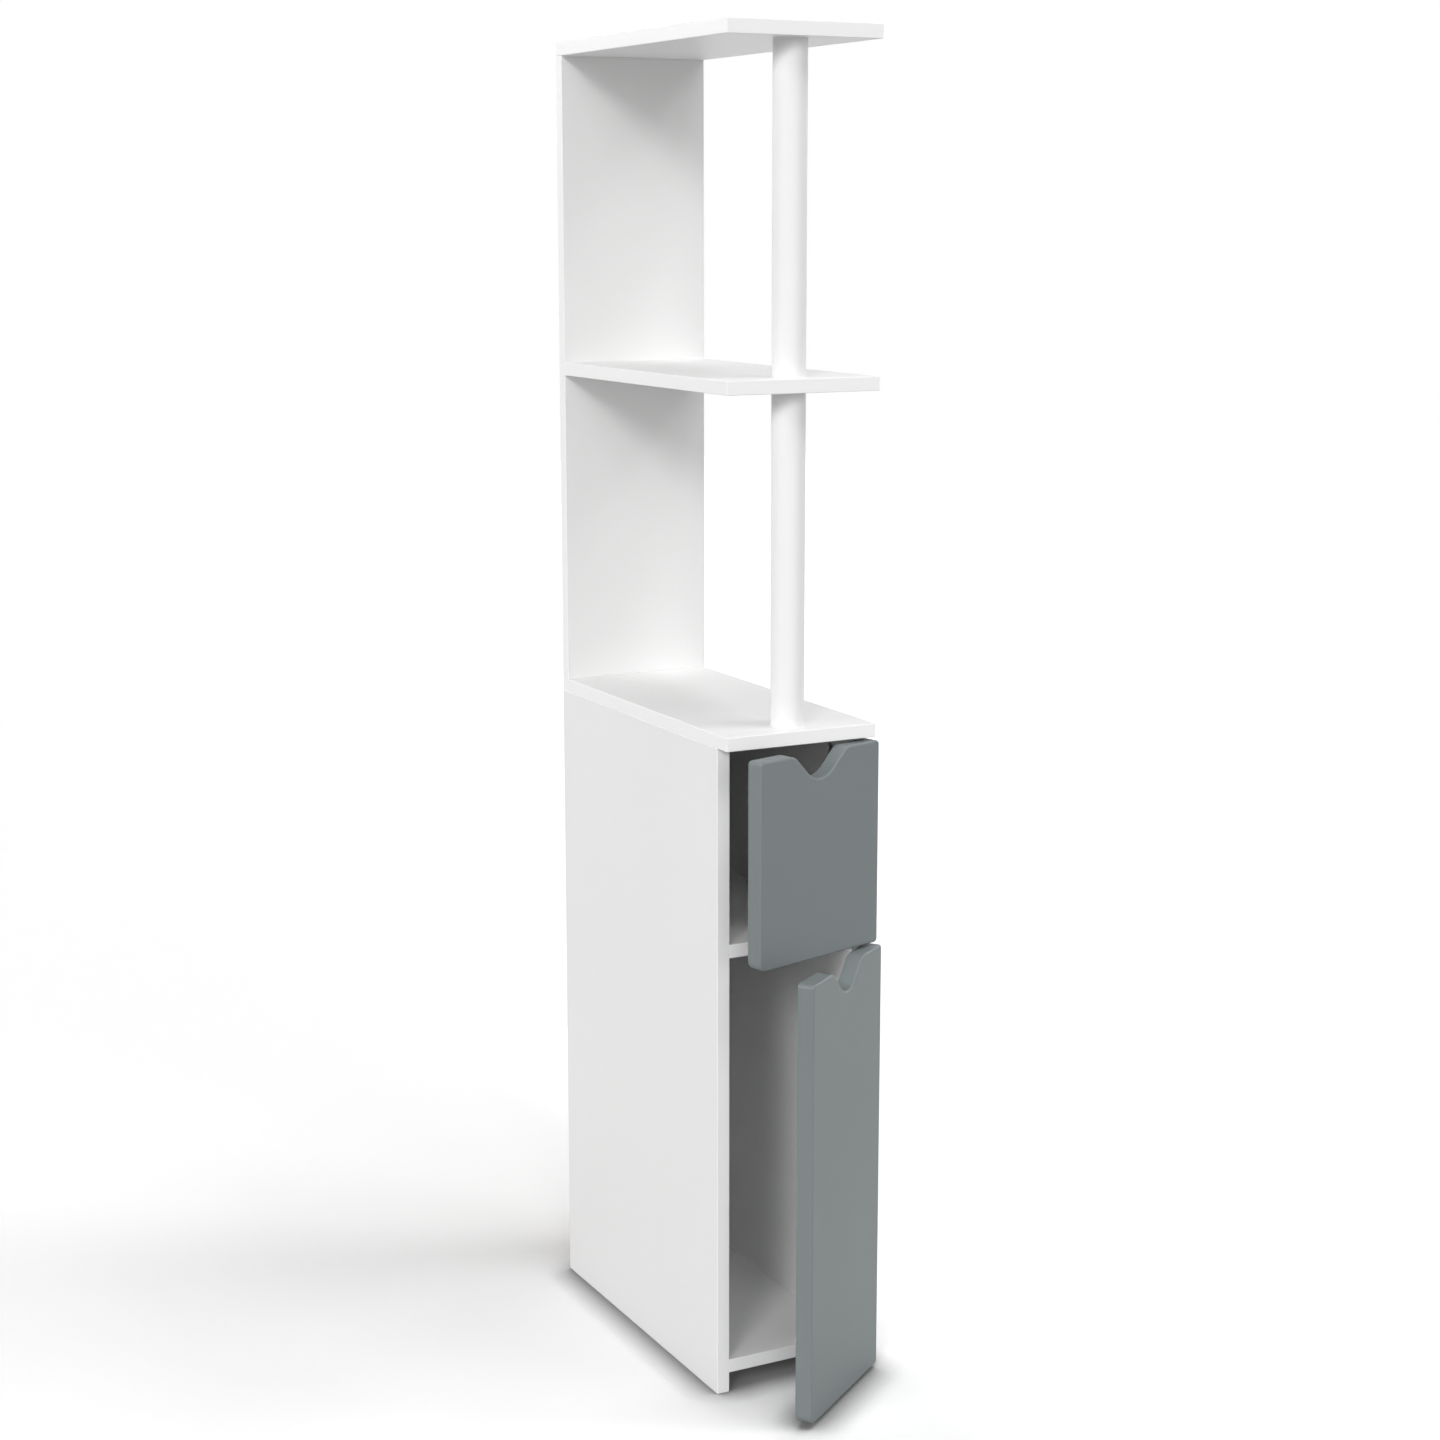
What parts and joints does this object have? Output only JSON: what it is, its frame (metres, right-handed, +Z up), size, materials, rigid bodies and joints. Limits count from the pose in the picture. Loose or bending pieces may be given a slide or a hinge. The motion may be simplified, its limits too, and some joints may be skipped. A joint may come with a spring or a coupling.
{
  "type": "slim bathroom cabinet",
  "caption": "Slim floor-standing bathroom cabinet with notched hinged doors in the base, open shelf bays above and a round pole at the front.",
  "frame": {"origin": "on the floor, at mid width, in the plane of the wall behind the cabinet", "axes": "+X to the right as seen from the front, +Y towards the wall, +Z up"},
  "size_m": [0.1539, 0.4177, 1.18],
  "materials": {
    "white_board": "smooth white melamine face",
    "hardboard": "white faced hardboard",
    "grey_door": "satin grey lacquer",
    "white_pole": "white powder coat",
    "black_plastic": "moulded",
    "white_plastic": "moulded",
    "magnet": "ground ferrite",
    "beech": "fluted beech",
    "zinc_steel": "bright zinc plate"
  },
  "bodies": {
    "cabinet": {"base_back_panel": "hardboard", "base_top_board": "white_board", "bottom_board": "white_board", "cam_bolts": "zinc_steel", "cam_locks": "zinc_steel", "catch_screws": "zinc_steel", "divider_board": "white_board", "frame_hinge_screws": "zinc_steel", "left_side_panel": "white_board", "lower_catch_housing": "white_plastic", "lower_catch_magnet": "magnet", "lower_door_lower_hinge_frame_leaf": "zinc_steel", "lower_door_lower_hinge_pin": "zinc_steel", "lower_door_upper_hinge_frame_leaf": "zinc_steel", "lower_door_upper_hinge_pin": "zinc_steel", "lower_pole": "white_pole", "lower_pole_foot_plug": "black_plastic", "lower_pole_head_plug": "black_plastic", "middle_shelf": "white_board", "middle_shelf_screws": "zinc_steel", "pole_base_screw": "zinc_steel", "pole_shelf_stud": "zinc_steel", "pole_top_stud": "zinc_steel", "right_side_panel": "white_board", "top_board": "white_board", "upper_back_board": "white_board", "upper_catch_housing": "white_plastic", "upper_catch_magnet": "magnet", "upper_door_lower_hinge_frame_leaf": "zinc_steel", "upper_door_lower_hinge_pin": "zinc_steel", "upper_door_upper_hinge_frame_leaf": "zinc_steel", "upper_door_upper_hinge_pin": "zinc_steel", "upper_pole": "white_pole", "upper_pole_foot_plug": "black_plastic", "upper_pole_head_plug": "black_plastic", "wooden_dowels": "beech"},
    "upper_door": {"upper_door_hinge_screws": "zinc_steel", "upper_door_lower_hinge_door_leaf": "zinc_steel", "upper_door_panel": "grey_door", "upper_door_upper_hinge_door_leaf": "zinc_steel", "upper_strike_plate": "zinc_steel", "upper_strike_screw": "zinc_steel"},
    "lower_door": {"lower_door_hinge_screws": "zinc_steel", "lower_door_lower_hinge_door_leaf": "zinc_steel", "lower_door_panel": "grey_door", "lower_door_upper_hinge_door_leaf": "zinc_steel", "lower_strike_plate": "zinc_steel", "lower_strike_screw": "zinc_steel"}
  },
  "joints": [
    {"name": "upper_door_swing", "type": "hinge", "parent": "cabinet", "child": "upper_door", "pos_m": [0.0751, -0.3188, 0], "axis": [0, 0, 1], "range_deg": [-16, 164]},
    {"name": "lower_door_swing", "type": "hinge", "parent": "cabinet", "child": "lower_door", "pos_m": [0.0751, -0.3188, 0], "axis": [0, 0, 1], "range_deg": [-36, 144]}
  ]
}
